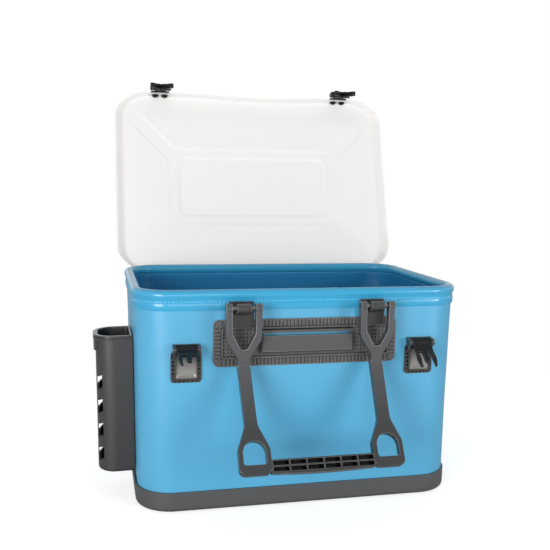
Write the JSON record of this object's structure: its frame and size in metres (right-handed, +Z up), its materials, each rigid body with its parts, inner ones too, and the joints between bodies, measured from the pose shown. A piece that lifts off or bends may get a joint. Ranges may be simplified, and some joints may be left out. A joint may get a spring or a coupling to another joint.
{
  "type": "fishing bag",
  "caption": "Semi-rigid rectangular tackle box with rolled rim, hinged lid, bent carrying handles, side-release clips and a side rod holder.",
  "frame": {"origin": "on the floor, under the middle of the base's flat underside", "axes": "+X to the right as seen from the front with the handle, +Y to the back with the lid's hinge, +Z up"},
  "size_m": [0.4523, 0.4482, 0.5207],
  "materials": {
    "eva_sheet_blue": "satin, slightly translucent welded sheet",
    "binding_blue": "satin",
    "core_white": "matte",
    "pan_grey": "fine grain, matte",
    "lid_white": "frosted, translucent",
    "fitting_grey": "satin moulded",
    "bracket_grey": "satin moulded",
    "handle_grey": "satin moulded",
    "clip_black": "semi-gloss moulded",
    "rod_grey": "fine chequered grain",
    "pin_steel": "satin"
  },
  "bodies": {
    "tub": {"base_pan": "pan_grey", "tub_floor": "eva_sheet_blue", "tub_wall": "eva_sheet_blue", "rim_binding": "binding_blue", "rim_core": "core_white", "hinge_strip_tub": "binding_blue", "front_plate": "fitting_grey", "front_bracket_left": "bracket_grey", "front_bracket_right": "bracket_grey", "front_pins": "pin_steel", "wall_clip_base_left": "fitting_grey", "wall_clip_base_right": "fitting_grey", "wall_clip_pins": "pin_steel", "rear_plate": "fitting_grey", "rear_bracket_left": "bracket_grey", "rear_bracket_right": "bracket_grey", "rear_pins": "pin_steel", "rod_backing": "rod_grey", "rod_tube": "rod_grey", "rod_collar": "rod_grey"},
    "lid": {"lid_shell": "lid_white", "hinge_strip_lid": "binding_blue", "lid_tab_left": "clip_black", "lid_tab_right": "clip_black", "lid_rivets": "clip_black", "lid_clip_pins": "pin_steel"},
    "front_handle": {"front_handle": "handle_grey"},
    "rear_handle": {"rear_handle": "handle_grey"},
    "lid_clip_left": {"lid_clip_left": "clip_black"},
    "lid_clip_right": {"lid_clip_right": "clip_black"},
    "wall_clip_left": {"wall_clip_left": "clip_black"},
    "wall_clip_right": {"wall_clip_right": "clip_black"}
  },
  "joints": [
    {"name": "lid_hinge", "type": "hinge", "parent": "tub", "child": "lid", "pos_m": [0, 0.1365, 0.2475], "axis": [1, 0, 0], "range_deg": [0, 107]},
    {"name": "front_handle_hinge", "type": "hinge", "parent": "tub", "child": "front_handle", "pos_m": [0, -0.15, 0.2405], "axis": [-1, 0, 0], "range_deg": [0, 195]},
    {"name": "rear_handle_hinge", "type": "hinge", "parent": "tub", "child": "rear_handle", "pos_m": [0, 0.15, 0.234], "axis": [1, 0, 0], "range_deg": [0, 130]},
    {"name": "lid_clip_left_hinge", "type": "hinge", "parent": "lid", "child": "lid_clip_left", "pos_m": [-0.1405, 0.21391, 0.5161], "axis": [-1, 0, 0], "range_deg": [0, 136]},
    {"name": "lid_clip_right_hinge", "type": "hinge", "parent": "lid", "child": "lid_clip_right", "pos_m": [0.1405, 0.21391, 0.5161], "axis": [-1, 0, 0], "range_deg": [0, 136]},
    {"name": "wall_clip_left_hinge", "type": "hinge", "parent": "tub", "child": "wall_clip_left", "pos_m": [-0.1405, -0.1385, 0.193], "axis": [-1, 0, 0], "range_deg": [-64, 104]},
    {"name": "wall_clip_right_hinge", "type": "hinge", "parent": "tub", "child": "wall_clip_right", "pos_m": [0.1405, -0.1385, 0.193], "axis": [-1, 0, 0], "range_deg": [-36, 132]}
  ]
}
